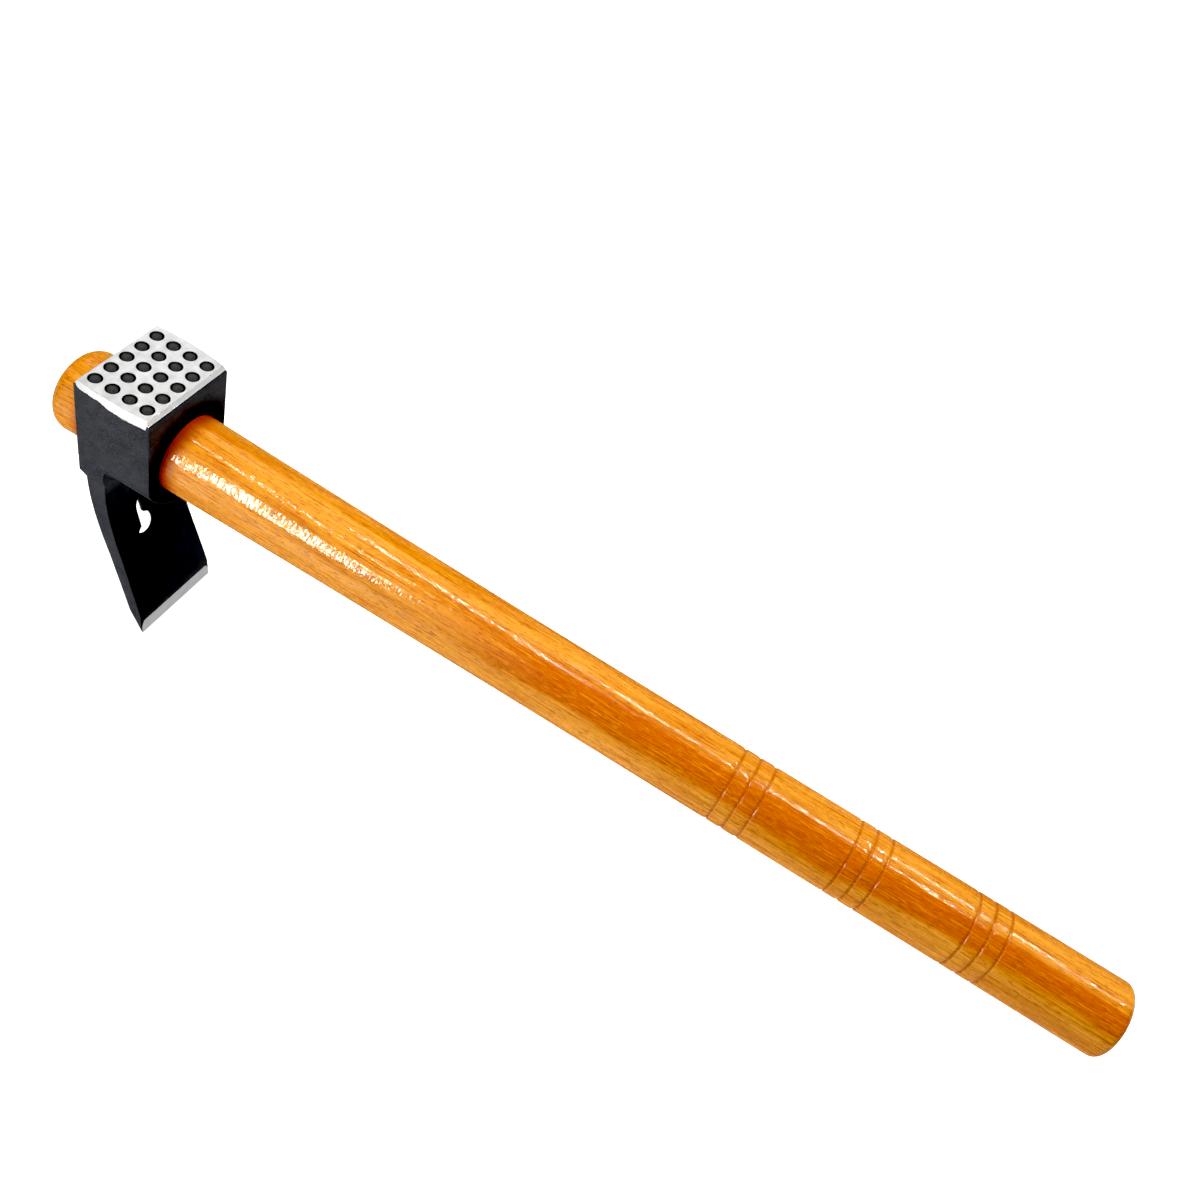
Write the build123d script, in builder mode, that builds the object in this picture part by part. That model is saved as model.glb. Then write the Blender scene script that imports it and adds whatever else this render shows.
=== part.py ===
"""Adze-pattern roofer's hammer: a forged head on a round, tapered wooden handle.

Frame, in millimetres: the origin is the centre of the striking face, +Z points out of it and +X
runs along the handle to the grip end. The tool is symmetrical about the XZ plane. Heights in the
two working planes are counted from the handle's axis, which crosses the head at the eye's centre.
"""
import os

from build123d import *

os.makedirs("parts", exist_ok=True)

# --- poll and eye socket ---
head_depth = 33.8          # along the handle, front face to back face
cheek_half = 21.4          # half width at the corners
cheek_bulge = 1.3          # how far each cheek bows out at mid depth
face_height = 30.0         # handle's axis to the striking face
socket_radius = 23.0       # round underside, about the handle's axis
arris_x = 1.7              # worn arris on the front and back edges of the face
arris_y = 1.1              # and on its cheek edges
arris_drop = 3.2           # height of both
corner_radius = 1.2        # upright corners of the poll
soft_edge = 0.8            # small rounding of the other edges

# --- striking face dimples ---
dimple_pitch_x = 7.6
dimple_pitch_y = 8.0
dimples_x = 4
dimples_y = 5
dimple_radius = 2.5
dimple_depth = 1.5         # a 118 degree drill point
dimple_tip_radius = 0.02

# --- blade, heights from the handle's axis ---
root_half = 21.4           # back wall of the socket, as wide as the poll
root_back_z = -16.0        # it ends here at the back, then steps in to the blade
root_corner = 0.7          # cut off its back corners, to follow the poll's rounded ones
blade_back_x = -14.4
blade_top_z = -19.6
blade_inner_x = -5.2       # inner face where it leaves the socket
blade_half = 20.3
blade_flare_z = -61.0      # straight above this, flared below it
edge_half = 22.0
edge_x = 12.7              # cutting edge
edge_z = -98.8
junction_radius = 3.0      # hollow where the inner face meets the socket

# Faces of the blade in side view, as (x, z). The inner one starts at the top of the ground bevel.
outer_points = [(blade_back_x, blade_top_z), (-11.2, -40.7), (-4.6, -61.3), (5.6, -88.0)]
inner_points = [(12.1, -90.0), (2.2, -60.5), (-3.8, -38.0), (blade_inner_x, -24.0)]

# --- keyhole nail puller ---
hole_x = 1.0               # centre of the round hole on the blade's inner face
hole_z = -56.2
inner_face_slope = 0.273   # run of the inner face towards +X for each unit it drops
hole_radius = 5.0
slot_half = 1.5
slot_length = 13.5         # hole centre to the end of the slot
scoop_radius = 10.8        # rim of the scooped countersink around the hole
scoop_shift = 4.3          # its centre lies nearer the cutting edge than the hole's
slot_scoop_half = 6.2
scoop_depth = 6.0
scoop_rise = 1.5           # the cutters begin this far above the face, which is hollow

# --- handle ---
stub_end_x = -35.6
grip_end_x = 411.9
eye_mid_radius = 16.55     # handle and eye radius at the eye's centre
eye_taper = 0.0145         # loss of radius for each unit along +X, the driving taper
taper_end_x = 22.0
grip_radius = 14.7
grip_start_x = 240.0
stub_round = 6.0           # rounding of the two ends
grip_round = 3.0
end_crown = 0.9            # both are slightly domed
ring_group_x = (260.7, 308.8, 356.4)
ring_pitch = 6.3
ring_cutter_radius = 0.7
ring_cutter_lift = 0.3


def height(item):
    """Height of an edge's middle, counted from the handle's axis."""
    return item.center().Z + face_height


def eye_radius(x):
    """Radius of the driving taper at x, shared by the handle and the eye."""
    return eye_mid_radius - eye_taper * x


def outer_corners(outline):
    """Corners of the handle's outline that lie away from its axis, from the stub to the grip end."""
    return outline.vertices().filter_by(lambda v: v.Y > grip_radius - 1).sort_by(Axis.X)


# Working planes through the eye's centre: side view (X, Z) and end view (Y, Z).
eye_centre = Vector(0, 0, -face_height)
side_view = Plane(origin=eye_centre, x_dir=(1, 0, 0), z_dir=(0, -1, 0))
end_view = Plane(origin=eye_centre, x_dir=(0, 1, 0), z_dir=(1, 0, 0))

# Handle: half outline turned about its axis.
stub_rim_x = stub_end_x + end_crown
stub_radius = eye_radius(stub_rim_x)
grip_rim_x = grip_end_x - end_crown
shaft_points = [
    (taper_end_x, eye_radius(taper_end_x)),
    (62.0, 15.68),
    (110.0, 15.25),
    (170.0, 14.9),
    (grip_start_x, grip_radius),
]
with BuildPart() as handle:
    with BuildSketch(side_view) as handle_outline:
        with BuildLine():
            Line((stub_rim_x, stub_radius), shaft_points[0])
            Spline(*shaft_points, tangents=[(1, -eye_taper), (1, 0)])
            Line(shaft_points[-1], (grip_rim_x, grip_radius))
            TangentArc((grip_end_x, 0), (grip_rim_x, grip_radius), tangent=(0, 1))
            Line((grip_end_x, 0), (stub_end_x, 0))
            TangentArc((stub_end_x, 0), (stub_rim_x, stub_radius), tangent=(0, 1))
        make_face()
        fillet(outer_corners(handle_outline)[0], radius=stub_round)
        fillet(outer_corners(handle_outline)[-1], radius=grip_round)
        for group_x in ring_group_x:
            with Locations((group_x, grip_radius + ring_cutter_lift)):
                with GridLocations(ring_pitch, 1, 3, 1):
                    Circle(ring_cutter_radius, mode=Mode.SUBTRACT)
    revolve(axis=Axis(eye_centre, (1, 0, 0)))
handle.part.label = "handle"

# Blade: side outline drawn across, trimmed to its end view, then the keyhole.
back_x = -head_depth / 2
with BuildPart() as blade:
    with BuildSketch(side_view):
        with BuildLine():
            Polyline((blade_inner_x, 0), (back_x, 0), (back_x, root_back_z), outer_points[0])
            Spline(*outer_points)
            Polyline(outer_points[-1], (edge_x, edge_z), inner_points[0])
            Spline(*inner_points)
            Line(inner_points[-1], (blade_inner_x, 0))
        make_face()
    extrude(amount=edge_half + 1, both=True)

    with BuildSketch(end_view):
        with BuildLine():
            Polyline(
                (0, 0),
                (root_half, 0),
                (root_half, root_back_z),
                (blade_half, blade_top_z),
                (blade_half, blade_flare_z),
                (edge_half, edge_z),
                (0, edge_z),
            )
            mirror(about=Plane.YZ)
        make_face()
    extrude(amount=head_depth, both=True, mode=Mode.INTERSECT)

    # Back corners of the socket's back wall.
    with BuildSketch(Plane.XY.offset(-face_height)):
        with Locations((back_x, root_half), (back_x, -root_half)):
            RegularPolygon(root_corner, side_count=4)
    extrude(amount=blade_top_z, mode=Mode.SUBTRACT)

    # Keyhole: scooped countersinks from the inner face, then the hole and slot right through.
    keyhole = Plane(
        origin=eye_centre + Vector(hole_x, 0, hole_z),
        x_dir=(0, 1, 0),
        z_dir=(1, 0, inner_face_slope),
    )
    flare = 1 + scoop_rise / scoop_depth
    with BuildSketch(keyhole.offset(scoop_rise)):
        with Locations((0, -flare * scoop_shift)):
            Circle(hole_radius + flare * (scoop_radius - hole_radius))
    with BuildSketch(keyhole.offset(-scoop_depth)):
        Circle(hole_radius)
    loft(mode=Mode.SUBTRACT)
    slot_mouth_half = slot_half + flare * (slot_scoop_half - slot_half)
    with BuildSketch(keyhole.offset(scoop_rise)):
        with Locations((0, slot_length / 2)):
            SlotCenterToCenter(slot_length, 2 * slot_mouth_half, rotation=90)
    with BuildSketch(keyhole.offset(-scoop_depth)):
        with Locations((0, slot_length / 2)):
            SlotCenterToCenter(slot_length, 2 * slot_half, rotation=90)
    loft(mode=Mode.SUBTRACT)
    with BuildSketch(keyhole.offset(-scoop_depth)):
        Circle(hole_radius)
        with Locations((0, slot_length / 2)):
            SlotCenterToCenter(slot_length, 2 * slot_half, rotation=90)
    extrude(amount=2 * scoop_depth, both=True, mode=Mode.SUBTRACT)

# Head: poll and socket, then the blade joined on, and the eye and dimples cut.
with BuildPart() as adze_head:
    # Poll seen from above: flat front and back, cheeks bowed out.
    with BuildSketch(Plane.XY.offset(-face_height - socket_radius)):
        with BuildLine():
            for side in (1, -1):
                ThreePointArc(
                    (-head_depth / 2, side * cheek_half),
                    (0, side * (cheek_half + cheek_bulge)),
                    (head_depth / 2, side * cheek_half),
                )
            for end in (1, -1):
                Line((end * head_depth / 2, cheek_half), (end * head_depth / 2, -cheek_half))
        make_face()
    extrude(amount=socket_radius + face_height)

    # Worn arris around the striking face, then the upright corners.
    face = adze_head.faces().sort_by(Axis.Z)[-1]
    chamfer(face.edges().filter_by(GeomType.LINE), arris_x, arris_drop, reference=face)
    face = adze_head.faces().sort_by(Axis.Z)[-1]
    chamfer(face.edges().filter_by(GeomType.CIRCLE), arris_y, arris_drop, reference=face)
    fillet(adze_head.edges().filter_by(Axis.Z), radius=corner_radius)

    # Socket seen along the handle: straight cheeks over a round underside.
    with BuildSketch(end_view):
        with Locations((0, face_height / 2)):
            Rectangle(4 * cheek_half, face_height)
        Circle(socket_radius)
    extrude(amount=head_depth, both=True, mode=Mode.INTERSECT)
    front_edges = adze_head.edges().filter_by(lambda e: e.center().X > head_depth / 2 - soft_edge)
    fillet(
        front_edges.filter_by(lambda e: height(e) < 0 and e.geom_type != GeomType.LINE),
        radius=soft_edge,
    )
    add(blade.part)

    # Long edges of the blade, and the hollow where it leaves the socket.
    blade_edges = adze_head.edges().filter_by(lambda e: height(e) < blade_top_z - head_depth / 4)
    fillet(
        blade_edges.filter_by(lambda e: blade_half - soft_edge < abs(e.center().Y) < edge_half),
        radius=soft_edge,
    )
    underside = adze_head.edges().filter_by(lambda e: abs(height(e) + socket_radius) < soft_edge)
    fillet(
        underside.filter_by(lambda e: abs(e.center().X - blade_inner_x) < soft_edge),
        radius=junction_radius,
    )

    # Eye, cut to the handle's driving taper.
    eye_reach = head_depth / 2 + 1
    with Locations(eye_centre):
        Cone(
            eye_radius(-eye_reach),
            eye_radius(eye_reach),
            2 * eye_reach,
            rotation=(0, 90, 0),
            mode=Mode.SUBTRACT,
        )

    # Drill-point dimples in the striking face.
    with Locations((0, 0, -dimple_depth / 2)):
        with GridLocations(dimple_pitch_x, dimple_pitch_y, dimples_x, dimples_y):
            Cone(dimple_tip_radius, dimple_radius, dimple_depth, mode=Mode.SUBTRACT)
adze_head.part.label = "adze_head"

export_step(adze_head.part, "parts/adze_head.step")
export_step(handle.part, "parts/handle.step")
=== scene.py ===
"""Looks of the adze-pattern roofing hatchet: a painted forged head on a lacquered wooden handle.

Everything is in metres in the row frame: the origin is the centre of the striking face, +Z points
out of it and +X runs along the handle to the grip end. Shaders and outlines count in millimetres.
"""
import math

import bmesh
import bpy
from mathutils import Matrix, Vector, noise


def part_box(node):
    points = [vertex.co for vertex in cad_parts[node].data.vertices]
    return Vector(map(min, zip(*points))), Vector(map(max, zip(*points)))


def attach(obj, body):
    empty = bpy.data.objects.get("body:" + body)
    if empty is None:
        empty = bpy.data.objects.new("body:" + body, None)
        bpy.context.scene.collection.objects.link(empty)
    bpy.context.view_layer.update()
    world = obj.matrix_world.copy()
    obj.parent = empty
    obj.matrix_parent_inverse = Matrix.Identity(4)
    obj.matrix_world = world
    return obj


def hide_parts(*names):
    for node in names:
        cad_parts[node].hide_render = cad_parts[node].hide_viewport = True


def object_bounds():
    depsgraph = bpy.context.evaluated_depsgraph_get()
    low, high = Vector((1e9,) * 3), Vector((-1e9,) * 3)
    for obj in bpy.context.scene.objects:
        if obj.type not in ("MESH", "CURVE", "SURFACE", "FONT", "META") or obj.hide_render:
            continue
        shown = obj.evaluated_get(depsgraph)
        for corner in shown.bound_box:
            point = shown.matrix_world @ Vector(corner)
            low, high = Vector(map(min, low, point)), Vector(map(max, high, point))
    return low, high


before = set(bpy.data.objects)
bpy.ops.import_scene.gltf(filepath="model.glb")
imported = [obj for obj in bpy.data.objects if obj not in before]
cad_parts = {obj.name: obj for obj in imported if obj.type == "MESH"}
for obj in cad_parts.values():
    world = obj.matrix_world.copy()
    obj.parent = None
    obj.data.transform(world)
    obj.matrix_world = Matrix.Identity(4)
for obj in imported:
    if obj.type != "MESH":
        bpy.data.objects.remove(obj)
cad_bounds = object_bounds()

MM = 0.001
handle_low, handle_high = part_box("handle")
axis_z = (handle_low.z + handle_high.z) / 2
HANDLE_AXIS = (0, 0, axis_z / MM)

# Sizes in millimetres. The pitches, the grip and the rings are the CAD's.
DIMPLE_PITCH_X, DIMPLE_PITCH_Y = 7.6, 8.0
DIMPLE_FIELD_X, DIMPLE_FIELD_Y = 14.6, 19.2    # half size of the area that holds the dimples
DIMPLE_FIELD_Z = -3.0          # and its lowest point
DIMPLE_PAINT_RADIUS = 2.7      # a little more than the drilled radius
BEVEL_LINE_Z = -122.0          # the paint ends here above the cutting edge
BEVEL_CORNER_Y = 19.4          # outside this, that line drops
GRIPWARD_X = 16.2              # beyond this lies the end of the head that faces the grip
GRIP_RADIUS = 14.7
RING_GROUPS, RING_PITCH = (260.7, 308.8, 356.4), 6.3

# Rounding of the worn edges, the least bend of an edge that wears, and the most bend of one that is
# shaded smooth.
WEAR = 0.13 * MM
CORNER_ANGLE, SMOOTH_ANGLE = math.radians(12), math.radians(28)

# Colour of the lights over the handle. The tubes are in metres, and watts per square metre and steradian.
WARM = (1.0, 0.94, 0.80)
TUBE_HEIGHT, TUBE_WIDTH, TUBE_RADIANCE = 0.62, 0.012, 100.0


# ---------------------------------------------------------------- node helpers


class Shader:
    """A node tree with short calls for the few kinds of node that are used here."""

    def __init__(self, tree):
        self.tree = tree
        self.tree.nodes.clear()

    def node(self, kind, inputs=(), **settings):
        """A new node. inputs maps a socket's name or number to a value or another socket."""
        made = self.tree.nodes.new(kind)
        for name, value in settings.items():
            setattr(made, name, value)
        for name, value in dict(inputs).items():
            self.put(made.inputs[name], value)
        return made

    def put(self, socket, value):
        """Link value to the socket if it is a socket too, otherwise set it, unless it is None."""
        if isinstance(value, bpy.types.NodeSocket):
            self.tree.links.new(value, socket)
        elif value is not None:
            socket.default_value = value

    def math(self, operation, a, b=None, c=None):
        made = self.node("ShaderNodeMath", operation=operation)
        for socket, value in zip(made.inputs, (a, b, c)):
            self.put(socket, value)
        return made.outputs[0]

    def ramp(self, value, low, high, at_low=0.0, at_high=1.0):
        """Smooth step from at_low to at_high as value goes from low to high."""
        sockets = {"Value": value, "From Min": low, "From Max": high, "To Min": at_low, "To Max": at_high}
        return self.node("ShaderNodeMapRange", sockets, interpolation_type="SMOOTHSTEP").outputs[0]

    def in_range(self, value, low, high):
        """1 where value lies between low and high, 0 elsewhere."""
        return self.math(
            "MULTIPLY",
            self.math("GREATER_THAN", value, low),
            self.math("LESS_THAN", value, high),
        )

    def blend(self, factor, a, b):
        """Colour a where factor is 0, colour b where it is 1."""
        # Sockets 6 and 7 of a Mix node are its two colours.
        return self.node("ShaderNodeMix", {0: factor, 6: a, 7: b}, data_type="RGBA").outputs[2]

    def mix(self, factor, a, b):
        """Number a where factor is 0, number b where it is 1."""
        return self.node("ShaderNodeMix", {0: factor, 2: a, 3: b}).outputs[0]

    def centred(self, value):
        """A noise value moved from around 0.5 to around 0."""
        return self.math("SUBTRACT", value, 0.5)

    def length(self, a, b):
        return self.math("SQRT", self.math("MULTIPLY_ADD", a, a, self.math("MULTIPLY", b, b)))

    def coordinates(self, stretch=(1, 1, 1), shift=(0, 0, 0)):
        """Object coordinates in millimetres, shifted and then divided by stretch along each axis."""
        sockets = {
            "Vector": self.node("ShaderNodeTexCoord").outputs["Object"],
            "Location": [-d / s for d, s in zip(shift, stretch)],
            "Scale": [1 / (MM * s) for s in stretch],
        }
        return self.node("ShaderNodeMapping", sockets).outputs[0]

    def noise(self, vector, detail, roughness=0.5, distortion=0.0):
        sockets = {
            "Vector": vector,
            "Scale": 1.0,
            "Detail": detail,
            "Roughness": roughness,
            "Distortion": distortion,
        }
        return self.node("ShaderNodeTexNoise", sockets).outputs[0]

    def bump(self, height, strength, distance):
        sockets = {"Height": height, "Strength": strength, "Distance": distance}
        return self.node("ShaderNodeBump", sockets).outputs[0]

    def axes(self, vector):
        return self.node("ShaderNodeSeparateXYZ", {0: vector}).outputs

    def normal_axes(self):
        return self.axes(self.node("ShaderNodeNewGeometry").outputs["Normal"])

    def finish(self, surface):
        self.node("ShaderNodeOutputMaterial", {"Surface": surface.outputs[0]})


def new_material(name):
    material = bpy.data.materials.new(name)
    material.use_nodes = True
    return material, Shader(material.node_tree)


# ---------------------------------------------------------------- forged steel


def above_paint_line(sh, x, z, ragged):
    """Height above the line where the poll's paint ends: slanting and ragged on the cheeks, nearly
    straight on the two ends."""
    slow = sh.centred(sh.noise(sh.coordinates((8, 8, 8), (4, 0, 0)), detail=1.0))
    cheek_line = sh.math("MULTIPLY_ADD", x, -0.05, -2.9)
    cheek_line = sh.math("MULTIPLY_ADD", slow, 2.4, cheek_line)
    cheek_line = sh.math("MULTIPLY_ADD", ragged, 1.2, cheek_line)
    end_line = sh.math("MULTIPLY_ADD", ragged, 0.25, -1.75)
    on_end = sh.ramp(sh.math("ABSOLUTE", x), 15.25, 15.45)
    return sh.math("SUBTRACT", z, sh.mix(on_end, cheek_line, end_line))


def from_dimple(sh, x, y):
    """Distance from the middle of the nearest dimple, in 4 columns along X and 5 rows along Y."""
    half_x, half_y = DIMPLE_PITCH_X / 2, DIMPLE_PITCH_Y / 2
    from_column = sh.math("SUBTRACT", sh.math("WRAP", x, DIMPLE_PITCH_X, 0.0), half_x)
    from_row = sh.math("WRAP", y, half_y, -half_y)
    return sh.length(from_column, from_row)


def painted_dimples(sh, x, y, z, from_centre, ragged):
    """1 inside the dimples, up to a slightly ragged rim."""
    in_x = sh.ramp(sh.math("ABSOLUTE", x), DIMPLE_FIELD_X, DIMPLE_FIELD_X - 0.1)
    in_y = sh.ramp(sh.math("ABSOLUTE", y), DIMPLE_FIELD_Y, DIMPLE_FIELD_Y - 0.1)
    in_field = sh.math("MULTIPLY", in_x, in_y)
    in_field = sh.math("MULTIPLY", in_field, sh.ramp(z, DIMPLE_FIELD_Z, DIMPLE_FIELD_Z + 0.1))
    rim = sh.math("MULTIPLY_ADD", ragged, 0.25, DIMPLE_PAINT_RADIUS)
    dimple = sh.ramp(sh.math("SUBTRACT", from_centre, rim), 0.06, -0.06)
    return sh.math("MULTIPLY", in_field, dimple)


def bare_bevels(sh, y, z, normal_y, ragged):
    """1 on both bevels of the cutting edge, up to a line that drops at the corners."""
    corner = sh.math("MAXIMUM", sh.math("SUBTRACT", sh.math("ABSOLUTE", y), BEVEL_CORNER_Y), 0.0)
    line = sh.math("MULTIPLY_ADD", sh.math("POWER", corner, 2.0), -0.8, BEVEL_LINE_Z)
    line = sh.math("MULTIPLY_ADD", ragged, 0.4, line)
    bare = sh.ramp(sh.math("SUBTRACT", line, z), -0.08, 0.08)
    sideways = sh.ramp(sh.math("ABSOLUTE", normal_y), 0.45, 0.7)
    return sh.math("MULTIPLY", bare, sh.math("SUBTRACT", 1.0, sideways))


def forged_steel():
    """Charcoal satin paint over a forging, with the striking face and the edge bevels ground bare."""
    charcoal, pale_charcoal = (0.027, 0.030, 0.039, 1), (0.045, 0.049, 0.062, 1)
    speck, shade = (0.075, 0.083, 0.104, 1), (0.004, 0.005, 0.008, 1)
    handle_shade_colour, paint_edge_shadow_colour = (0.004, 0.004, 0.006, 1), (0.003, 0.003, 0.004, 1)
    dimple_wall, dimple_tip_highlight = (0.004, 0.004, 0.005, 1), (0.044, 0.048, 0.058, 1)
    bright, brushed, dull = (0.86, 0.86, 0.87, 1), (0.74, 0.75, 0.76, 1), (0.64, 0.65, 0.67, 1)

    material, sh = new_material("forged_steel")
    x, y, z = sh.axes(sh.coordinates())
    normal = sh.normal_axes()
    ragged = sh.centred(sh.noise(sh.coordinates((1.5, 1.5, 1.5)), detail=4.0, roughness=0.65))

    # Bare metal: the striking face without its dimples, and the bevels of the cutting edge.
    above = above_paint_line(sh, x, z, ragged)
    from_centre = from_dimple(sh, x, y)
    dimple = painted_dimples(sh, x, y, z, from_centre, ragged)
    poll_bare = sh.math("MULTIPLY", sh.ramp(above, -0.07, 0.07), sh.math("SUBTRACT", 1.0, dimple))
    bare = sh.math("MAXIMUM", poll_bare, bare_bevels(sh, y, z, normal[1], ragged))

    # Paint: a fine speckle, and soft patches where it lies thicker.
    speckle = sh.noise(sh.coordinates((0.45, 0.45, 0.45)), detail=2.0, roughness=0.7)
    patches = sh.noise(sh.coordinates((6, 6, 6)), detail=4.0, roughness=0.6)
    paint = sh.blend(sh.ramp(patches, 0.3, 0.7), charcoal, pale_charcoal)
    paint = sh.blend(sh.ramp(speckle, 0.46, 0.70), paint, speck)
    # Painted shade: the paint is made blacker on the side that faces the grip, most of all in the blade's
    # hollow.
    gripward = sh.ramp(normal[0], 0.35, 0.8)
    gripward = sh.math("MULTIPLY", gripward, sh.ramp(z, -56, -48, 0.86, 0.45))
    paint = sh.blend(gripward, paint, shade)
    # Painted shade around the handle, on that side only.
    from_handle = sh.length(y, sh.math("SUBTRACT", z, HANDLE_AXIS[2]))
    on_gripward_end = sh.ramp(x, GRIPWARD_X, GRIPWARD_X + 0.4)
    handle_shade = sh.math("MULTIPLY", sh.ramp(from_handle, 27.0, 18.8, 0.0, 0.96), on_gripward_end)
    paint = sh.blend(handle_shade, paint, handle_shade_colour)
    # A painted shadow line where the poll's paint ends, and dimples with a painted highlight at their
    # tips.
    paint_edge_shadow = sh.math("MULTIPLY", sh.ramp(above, -0.55, -0.25), sh.in_range(z, -8, 0))
    paint = sh.blend(sh.math("MULTIPLY", paint_edge_shadow, 0.8), paint, paint_edge_shadow_colour)
    tip = sh.math("MULTIPLY", dimple, sh.ramp(from_centre, 2.3, 1.5))
    paint = sh.blend(dimple, paint, dimple_wall)
    paint = sh.blend(tip, paint, dimple_tip_highlight)

    # Ground steel: fine scratches along Y, and a cloudy film.
    scratches = sh.noise(sh.coordinates((0.12, 7, 0.12)), detail=3.0, roughness=0.6)
    cloud = sh.noise(sh.coordinates((4, 4, 4), (0, 3, 0)), detail=4.0, roughness=0.6)
    steel = sh.blend(sh.ramp(scratches, 0.35, 0.75), bright, brushed)
    steel = sh.blend(sh.ramp(cloud, 0.45, 0.8, 0.0, 0.4), steel, dull)

    paint_rough = sh.math("MULTIPLY_ADD", handle_shade, 0.4, sh.ramp(patches, 0.3, 0.7, 0.50, 0.42))
    steel_rough = sh.ramp(cloud, 0.3, 0.7, 0.26, 0.38)
    relief = sh.math("MULTIPLY_ADD", speckle, 0.8, sh.math("MULTIPLY", patches, 1.6))
    relief = sh.math("MULTIPLY", sh.math("ADD", relief, 1.5), sh.math("SUBTRACT", 1.0, bare))
    relief = sh.math("MULTIPLY_ADD", sh.math("MULTIPLY", scratches, bare), 0.14, relief)
    surface = sh.node(
        "ShaderNodeBsdfPrincipled",
        {
            "Base Color": sh.blend(bare, paint, steel),
            "Metallic": bare,
            "Roughness": sh.mix(bare, paint_rough, steel_rough),
            "Specular IOR Level": 0.13,
            "Normal": sh.bump(relief, 0.8, 0.05 * MM),
        },
    )
    sh.finish(surface)
    return material


# -------------------------------------------------------------- lacquered wood


def grain(sh, along, across, **settings):
    """Noise about the handle's axis, with features that are along by across millimetres."""
    return sh.noise(sh.coordinates((along, across, across), HANDLE_AXIS), **settings)


def growth_layers(sh, y, z, on_end):
    """How much late wood shows: gently bent shells about a pith line well outside the handle,
    more marked on the two ends than along the side."""
    bend = sh.centred(grain(sh, 120, 14, detail=2.0))
    from_pith = sh.length(sh.math("ADD", y, 31.0), sh.math("ADD", z, 44.0))
    layer = sh.math("PINGPONG", sh.math("MULTIPLY_ADD", bend, 9.0, from_pith), 1.3)
    return sh.math("MULTIPLY", sh.ramp(layer, 0.75, 1.25), sh.ramp(on_end, 0.7, 0.9, 0.22, 0.55))


def heartwood_and_shade_band(sh, x, y, z, lines, clouds, streaks):
    """A long band along one side of the handle that is partly a redder heartwood layer and partly painted
    shade.
    """
    angle = sh.math("ARCTAN2", y, z)
    upper = sh.math("MULTIPLY_ADD", sh.centred(lines), 0.22, -0.24)
    lower = sh.math("MULTIPLY_ADD", sh.centred(clouds), 0.7, sh.ramp(x, 290, 400, -1.08, -0.86))
    inside_upper = sh.ramp(sh.math("SUBTRACT", upper, angle), -0.10, 0.16)
    inside_lower = sh.ramp(sh.math("SUBTRACT", angle, lower), -0.16, 0.14)
    band = sh.math("MULTIPLY", sh.math("MULTIPLY", inside_upper, inside_lower), sh.ramp(x, 105, 190))
    band = sh.math("MULTIPLY", band, sh.ramp(streaks, 0.25, 0.6, 0.75, 1.0))
    return sh.math("MULTIPLY", band, sh.ramp(sh.length(y, z), 9, 13))


def lacquer(sh, streaks, pores):
    """Weight and normal of the clear coat. It follows the grain a little, and cross marks left by
    turning and sanding break its reflections up, as do dull strands along the handle."""
    marks = grain(sh, 0.85, 2.4, detail=1.0)
    strands = grain(sh, 24, 1.1, detail=1.0)
    weight = sh.math(
        "MULTIPLY",
        sh.ramp(marks, 0.42, 0.54, 0.10, 1.0),
        sh.ramp(strands, 0.40, 0.50, 0.40, 1.0),
    )
    turning = grain(sh, 1.0, 1.6, detail=1.0)
    sag = grain(sh, 9, 2.2, detail=2.0)
    relief = sh.math("MULTIPLY_ADD", turning, 1.1, sh.math("MULTIPLY", sag, 1.7))
    relief = sh.math("MULTIPLY_ADD", streaks, 0.30, relief)
    relief = sh.math("MULTIPLY_ADD", pores, 0.12, relief)
    return weight, sh.bump(relief, 0.8, 0.06 * MM)


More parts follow.
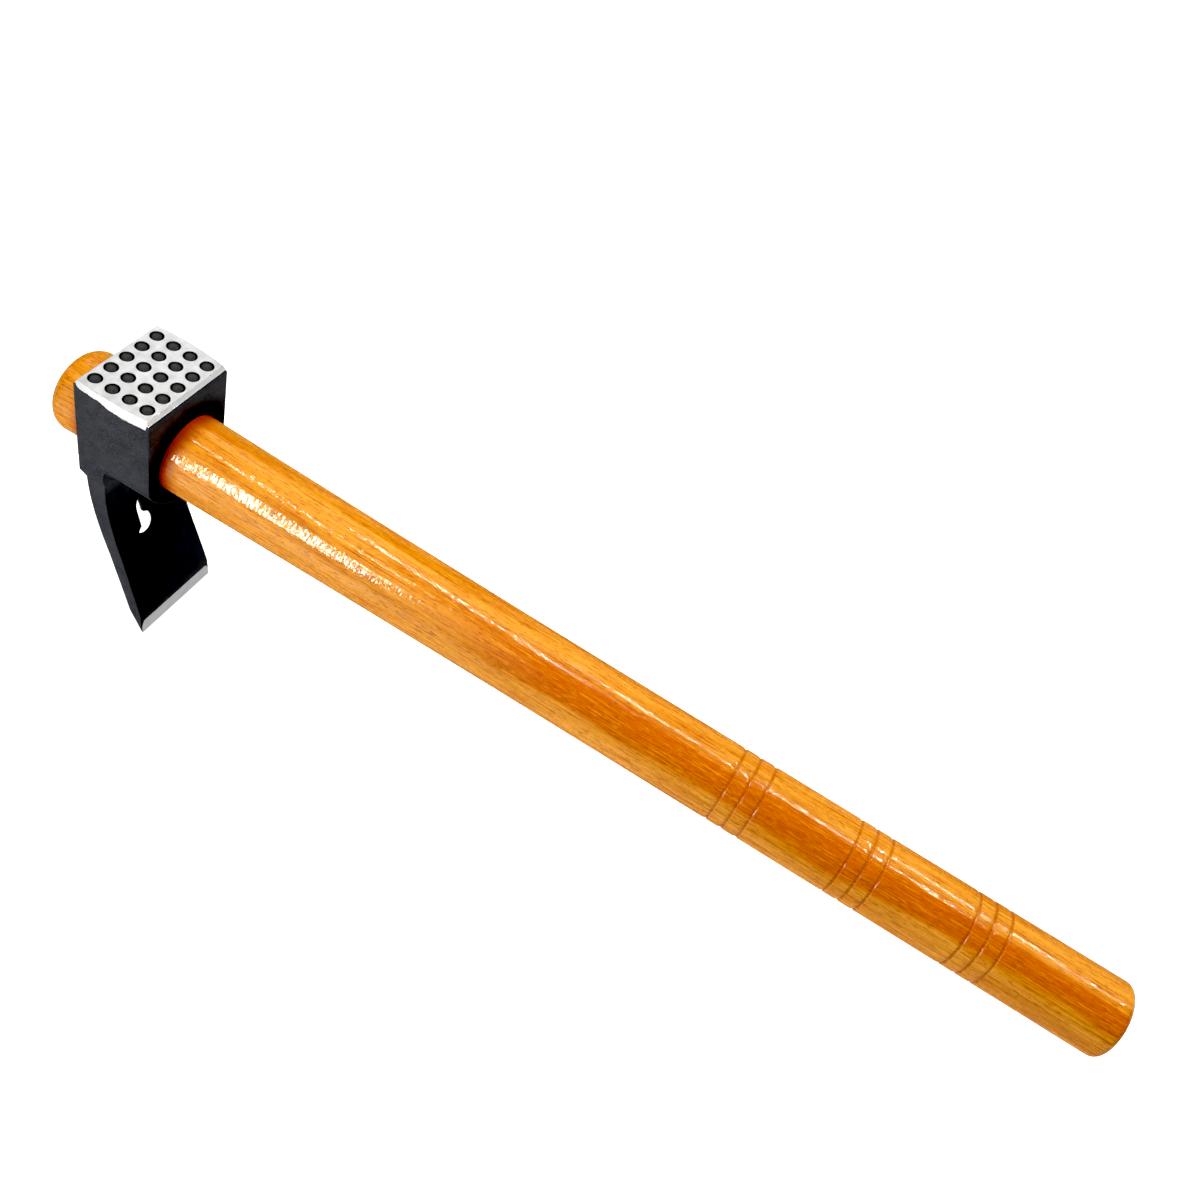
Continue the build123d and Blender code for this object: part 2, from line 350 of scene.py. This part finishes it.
def lacquered_wood():
    """Amber hardwood: growth layers along the handle, fine streaks and pores, gloss lacquer."""
    amber, gold = (0.65, 0.245, 0.012, 1), (0.82, 0.362, 0.050, 1)
    russet, umber = (0.50, 0.098, 0.001, 1), (0.30, 0.052, 0.001, 1)
    heartwood_and_shade, honey, straw = (0.56, 0.118, 0.001, 1), (0.92, 0.40, 0.030, 1), (0.95, 0.44, 0.050, 1)
    ring_stain, head_shade_and_reflection = (0.34, 0.060, 0.001, 1), (0.35, 0.030, 0.001, 1)

    material, sh = new_material("lacquered_wood")
    x, y, z = sh.axes(sh.coordinates(shift=HANDLE_AXIS))
    on_end = sh.math("ABSOLUTE", sh.normal_axes()[0])
    clouds = grain(sh, 90, 6, detail=3.0, roughness=0.55, distortion=0.4)
    streaks = grain(sh, 16, 0.62, detail=3.0, roughness=0.65)
    lines = grain(sh, 38, 0.55, detail=2.0)
    pores = grain(sh, 3.2, 0.55, detail=2.0, roughness=0.65)
    flecks = grain(sh, 4.0, 0.50, detail=2.0)

    colour = sh.blend(sh.ramp(clouds, 0.36, 0.64), amber, gold)
    colour = sh.blend(growth_layers(sh, y, z, on_end), colour, russet)
    # The band is partly the wood's own redder colour and partly painted shade.
    colour = sh.blend(heartwood_and_shade_band(sh, x, y, z, lines, clouds, streaks), colour, heartwood_and_shade)
    colour = sh.blend(sh.ramp(streaks, 0.50, 0.68, 0.0, 0.75), colour, russet)
    colour = sh.blend(sh.ramp(streaks, 0.46, 0.30, 0.0, 0.6), colour, honey)
    colour = sh.blend(sh.ramp(lines, 0.62, 0.72, 0.0, 0.7), colour, umber)
    colour = sh.blend(sh.ramp(pores, 0.54, 0.66, 0.0, 0.55), colour, umber)
    colour = sh.blend(sh.ramp(flecks, 0.54, 0.72, 0.0, 0.28), colour, straw)

    # Stain gathers in the turned rings. Next to the head, painted shade and a painted reflection of the
    # dark head darken the wood.
    groove = sh.ramp(sh.length(y, z), 14.56, 14.36, 0.0, 0.5)
    groove = sh.math("MULTIPLY", groove, sh.in_range(x, 245, 375))
    colour = sh.blend(groove, colour, ring_stain)
    colour = sh.blend(sh.ramp(sh.math("ABSOLUTE", x), 26.0, 18.0, 0.0, 0.94), colour, head_shade_and_reflection)

    coat_weight, coat_normal = lacquer(sh, streaks, pores)
    surface = sh.node(
        "ShaderNodeBsdfPrincipled",
        {
            "Base Color": colour,
            "Roughness": 0.5,
            "Specular IOR Level": 0.15,
            "Normal": sh.bump(sh.math("ADD", streaks, pores), 0.5, 0.05 * MM),
            "Coat Weight": coat_weight,
            "Coat Roughness": 0.015,
            "Coat IOR": 1.52,
            "Coat Normal": coat_normal,
        },
    )
    sh.finish(surface)
    return material


# ------------------------------------------------------------------------ head


def add_piece(name, mesh, material):
    piece = bpy.data.objects.new(name, mesh)
    bpy.context.scene.collection.objects.link(piece)
    mesh.materials.clear()
    mesh.materials.append(material)
    return piece


def is_ground(point):
    """On the striking face, the rims of its dimples or the worn arris around it."""
    return point.z > -4 and (point.z > -0.1 or abs(point.x) > 15.1 or abs(point.y) > 20.0)


def with_even_normals(mesh):
    """The same mesh with normals weighted by face area, so that flat faces stay flat."""
    piece = bpy.data.objects.new("working", mesh)
    bpy.context.scene.collection.objects.link(piece)
    normals = piece.modifiers.new("normals", "WEIGHTED_NORMAL")
    normals.keep_sharp = True
    shape = bpy.data.meshes.new_from_object(piece.evaluated_get(bpy.context.evaluated_depsgraph_get()))
    bpy.data.objects.remove(piece)
    return shape


def head_mesh():
    """The forging: the CAD shape with the edges around its striking face rounded by wear."""
    bm = bmesh.new()
    bm.from_mesh(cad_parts["adze_head"].data)
    # Each CAD face is apart from its neighbours here, so its borders are the forging's own edges.
    border = bm.edges.layers.int.new("border")
    for edge in bm.edges:
        edge[border] = edge.is_boundary
    bmesh.ops.remove_doubles(bm, verts=bm.verts, dist=0.001 * MM)
    bmesh.ops.dissolve_limit(bm, angle_limit=math.radians(0.2), verts=bm.verts, edges=bm.edges)
    bm.normal_update()
    worn = [
        edge
        for edge in bm.edges
        if edge[border]
        and edge.calc_face_angle(0) > CORNER_ANGLE
        and all(is_ground(vert.co / MM) for vert in edge.verts)
    ]
    bmesh.ops.bevel(
        bm,
        geom=worn,
        affect="EDGES",
        offset=WEAR,
        offset_type="OFFSET",
        segments=3,
        profile=0.5,
        miter_outer="ARC",
    )
    bm.normal_update()
    for edge in bm.edges:
        edge.smooth = edge.calc_face_angle(0) < SMOOTH_ANGLE
    mesh = bpy.data.meshes.new("forged_head")
    bm.to_mesh(mesh)
    bm.free()
    mesh.shade_smooth()
    return with_even_normals(mesh)


def make_head():
    piece = add_piece("forged_head", head_mesh(), forged_steel())
    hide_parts("adze_head")
    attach(piece, "root")


# ---------------------------------------------------------------------- handle


def end_profile(radius, round_radius, crown):
    """Outline of a domed end, from its middle to where the round meets the shaft, as (x, r) with
    x counted from the tip inwards."""
    steps = 9
    dome = (radius**2 + crown**2) / (2 * crown)
    inner = radius - round_radius
    centre_x = dome - math.sqrt((dome - round_radius) ** 2 - inner**2)
    meet = math.asin(inner / (dome - round_radius))
    points = []
    for i in range(steps):
        turn = meet * i / steps
        points.append((dome * (1 - math.cos(turn)), dome * math.sin(turn)))
    for i in range(steps + 1):
        turn = meet + (math.pi / 2 - meet) * i / steps
        points.append((centre_x - round_radius * math.cos(turn), inner + round_radius * math.sin(turn)))
    return points


def shaft_radius(x):
    """Radius of the plain shaft at x, in millimetres: a driving taper, a long sweep, then the grip."""
    taper_end, sweep_end = 22.0, 240.0
    start, slope = 16.231, -0.0145
    if x <= taper_end:
        return start + slope * (x - taper_end)
    if x >= sweep_end:
        return GRIP_RADIUS
    span = sweep_end - taper_end
    s = (x - taper_end) / span
    level = (1 + 2 * s) * (1 - s) ** 2
    return level * start + (1 - level) * GRIP_RADIUS + s * (1 - s) ** 2 * span * slope


def ring_depth(x, centre):
    """Depth of one turned ring groove at x: a round-nosed cut with slightly softened lips."""
    nose, lift, soften = 0.7, 0.3, 0.04
    inside = nose**2 - (x - centre) ** 2
    cut = math.sqrt(inside) - lift if inside > 0 else -lift
    return soften * math.log1p(math.exp(cut / soften))


def next_step(near):
    """Step to the outline's next point, near millimetres from a ring: finest inside the groove."""
    if near < 1.1:
        return 0.1
    return 2.2 if near > 4 else 0.8


def handle_outline():
    """The handle's outline from the tip of the stub to the tip of the grip, as (x, r)."""
    stub_round, grip_round, crown, least_gap = 6.0, 3.0, 0.9, 0.4
    low, high = handle_low.x / MM, handle_high.x / MM
    rings = [group + RING_PITCH * k for group in RING_GROUPS for k in (-1, 0, 1)]
    left = [(low + x, r) for x, r in end_profile(shaft_radius(low + crown), stub_round, crown)]
    right = [(high - x, r) for x, r in end_profile(shaft_radius(high), grip_round, crown)]
    shaft = []
    x = left[-1][0]
    while x < right[-1][0]:
        x += next_step(min(abs(x - ring) for ring in rings))
        if x < right[-1][0] - least_gap:
            shaft.append((x, shaft_radius(x) - sum(ring_depth(x, ring) for ring in rings)))
    return left + shaft + right[::-1]


def handle_mesh():
    """The turned handle: its outline carried round the axis, a little uneven from hand sanding."""
    around, clearance = 128, 0.03
    bm = bmesh.new()
    loops = []
    for x, r in handle_outline():
        if r < 1e-6:
            loops.append([bm.verts.new((x * MM, 0, axis_z))])
            continue
        loop = []
        for i in range(around):
            turn = 2 * math.pi * i / around
            wobble = noise.noise(Vector((x / 45, 1.5 * math.cos(turn), 1.5 * math.sin(turn))))
            radius = r - clearance * (1 + wobble)
            across, up = radius * math.sin(turn) * MM, radius * math.cos(turn) * MM
            loop.append(bm.verts.new((x * MM, across, axis_z + up)))
        loops.append(loop)
    for a, b in zip(loops, loops[1:]):
        for i in range(around):
            j = (i + 1) % around
            # A tip is a loop of one corner, so the faces around it are triangles.
            corners = [a[i % len(a)], a[j % len(a)], b[j % len(b)], b[i % len(b)]]
            bm.faces.new(list(dict.fromkeys(corners)))
    bmesh.ops.recalc_face_normals(bm, faces=bm.faces)
    mesh = bpy.data.meshes.new("turned_handle")
    bm.to_mesh(mesh)
    bm.free()
    return mesh


def make_handle():
    piece = add_piece("turned_handle", handle_mesh(), lacquered_wood())
    piece.data.shade_smooth()
    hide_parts("handle")
    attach(piece, "root")


# ------------------------------------------------------- floor, light and view


def pale_floor():
    """Matt white, lit mostly by its own glow, so that it stays even."""
    material, sh = new_material("pale_floor")
    surface = sh.node(
        "ShaderNodeBsdfPrincipled",
        {
            "Base Color": (0.8, 0.8, 0.8, 1),
            "Roughness": 0.9,
            "Specular IOR Level": 0.0,
            "Emission Color": (1, 1, 1, 1),
            "Emission Strength": 0.85,
        },
    )
    sh.finish(surface)
    return material


def make_floor():
    """A floor just under the blade, which the paint and the lacquer don't mirror."""
    half, drop = 3.0, 0.5 * MM
    bm = bmesh.new()
    bmesh.ops.create_grid(bm, x_segments=1, y_segments=1, size=half)
    mesh = bpy.data.meshes.new("floor")
    bm.to_mesh(mesh)
    bm.free()
    floor = add_piece("floor", mesh, pale_floor())
    floor.location.z = cad_bounds[0].z - drop
    floor.visible_glossy = False


def make_world():
    """A pale backdrop for the camera. Reflections see a dim room with three bright patches."""
    world = bpy.data.worlds.new("studio")
    bpy.context.scene.world = world
    world.use_nodes = True
    sh = Shader(world.node_tree)
    direction = sh.node("ShaderNodeTexCoord").outputs["Generated"]

    def toward(aim, start, end, strength):
        vectors = {0: direction, 1: Vector(aim).normalized()}
        cosine = sh.node("ShaderNodeVectorMath", vectors, operation="DOT_PRODUCT").outputs["Value"]
        return sh.ramp(cosine, start, end, 0.0, strength)

    strength = sh.math("ADD", 0.10, toward((0, -0.2, -1), 0.40, 0.74, 0.08))
    for aim, start, end, lobe in (
        ((-0.46, -0.84, -0.27), 0.90, 0.97, 1.15),
        ((0.46, 0.52, -0.72), 0.86, 0.96, 0.42),
        ((0.83, 0.55, -0.03), 0.90, 0.97, 0.75),
    ):
        strength = sh.math("ADD", strength, toward(aim, start, end, lobe))
    seen = sh.node("ShaderNodeLightPath").outputs["Is Camera Ray"]
    strength = sh.mix(seen, strength, 0.95)
    surface = sh.node("ShaderNodeBackground", {"Color": (1, 1, 1, 1), "Strength": strength})
    sh.node("ShaderNodeOutputWorld", {"Surface": surface.outputs[0]})


def add_light(name, width, height, radiance, colour):
    """A rectangular area light with the given radiance, facing down from the origin."""
    data = bpy.data.lights.new(name, "AREA")
    data.shape = "RECTANGLE"
    data.size, data.size_y = width, height
    data.energy = radiance * math.pi * width * height
    data.color = colour
    light = bpy.data.objects.new(name, data)
    bpy.context.scene.collection.objects.link(light)
    return light


def add_softbox(name, place, target, width, height, radiance, colour=WARM):
    """A light at place that looks at target."""
    light = add_light(name, width, height, radiance, colour)
    light.location = place
    light.rotation_euler = (Vector(target) - Vector(place)).to_track_quat("-Z", "Y").to_euler()
    return light


def add_tube(name, start, end):
    """A narrow ceiling light that runs from start to end, seen from above."""
    along = Vector(end) - Vector(start)
    light = add_light(name, along.length, TUBE_WIDTH, TUBE_RADIANCE, WARM)
    light.location = (*((Vector(start) + Vector(end)) / 2), TUBE_HEIGHT)
    light.rotation_euler.z = math.atan2(along.y, along.x)


def make_lights():
    """Three ceiling tubes, a strip and a window for the lacquer to mirror, a panel for the striking
    face, and two soft fills that nothing mirrors."""
    add_tube("tube_1", (-0.10, 0.22), (0.16, -0.05))
    add_tube("tube_2", (0.14, 0.30), (0.525, 0.03))
    add_tube("tube_3", (0.47, 0.48), (0.72, 0.22))
    near_head = Vector((0.07, 0, axis_z))
    add_softbox("head_strip", (-0.13, -0.16, 0.60), near_head, 0.36, 0.016, 42.0)
    window = add_softbox("window", (-0.13, -0.52, 0.24), near_head, 0.18, 0.30, 30.0)
    window.visible_diffuse = False
    front_fill = add_softbox("front_fill", (-0.15, -0.52, 0.24), near_head, 0.20, 0.20, 14.0)
    front_fill.visible_glossy = False
    add_softbox("face_panel", (-0.235, 0.28, 0.34), (0, 0, 0), 0.19, 0.19, 1.28, (1, 1, 1))
    back_fill = add_softbox("back_fill", (0.2, 0.5, 0.84), (0.2, 0, axis_z), 0.8, 0.8, 2.2)
    back_fill.visible_glossy = False


def make_camera():
    """A camera at the photograph's viewing angle."""
    place = Vector((0.2236, -0.2632, 0.3232))
    target = Vector((0.1780, 0.0440, -0.0300))
    roll = math.radians(24.853)
    data = bpy.data.cameras.new("camera")
    data.lens, data.sensor_width = 36, 36
    data.clip_start, data.clip_end = 0.01, 20
    camera = bpy.data.objects.new("camera", data)
    bpy.context.scene.collection.objects.link(camera)
    aim = (target - place).to_track_quat("-Z", "Y").to_matrix() @ Matrix.Rotation(roll, 3, "Z")
    camera.matrix_world = Matrix.Translation(place) @ aim.to_4x4()
    bpy.context.scene.camera = camera


def set_exposure():
    """Plain display colours, with the blacks set a little deeper."""
    view = bpy.context.scene.view_settings
    view.view_transform = "Standard"
    view.use_curve_mapping = True
    view.curve_mapping.black_level = (0.023, 0.023, 0.023)
    view.curve_mapping.update()


make_head()
make_handle()
make_floor()
make_world()
make_lights()
make_camera()
set_exposure()
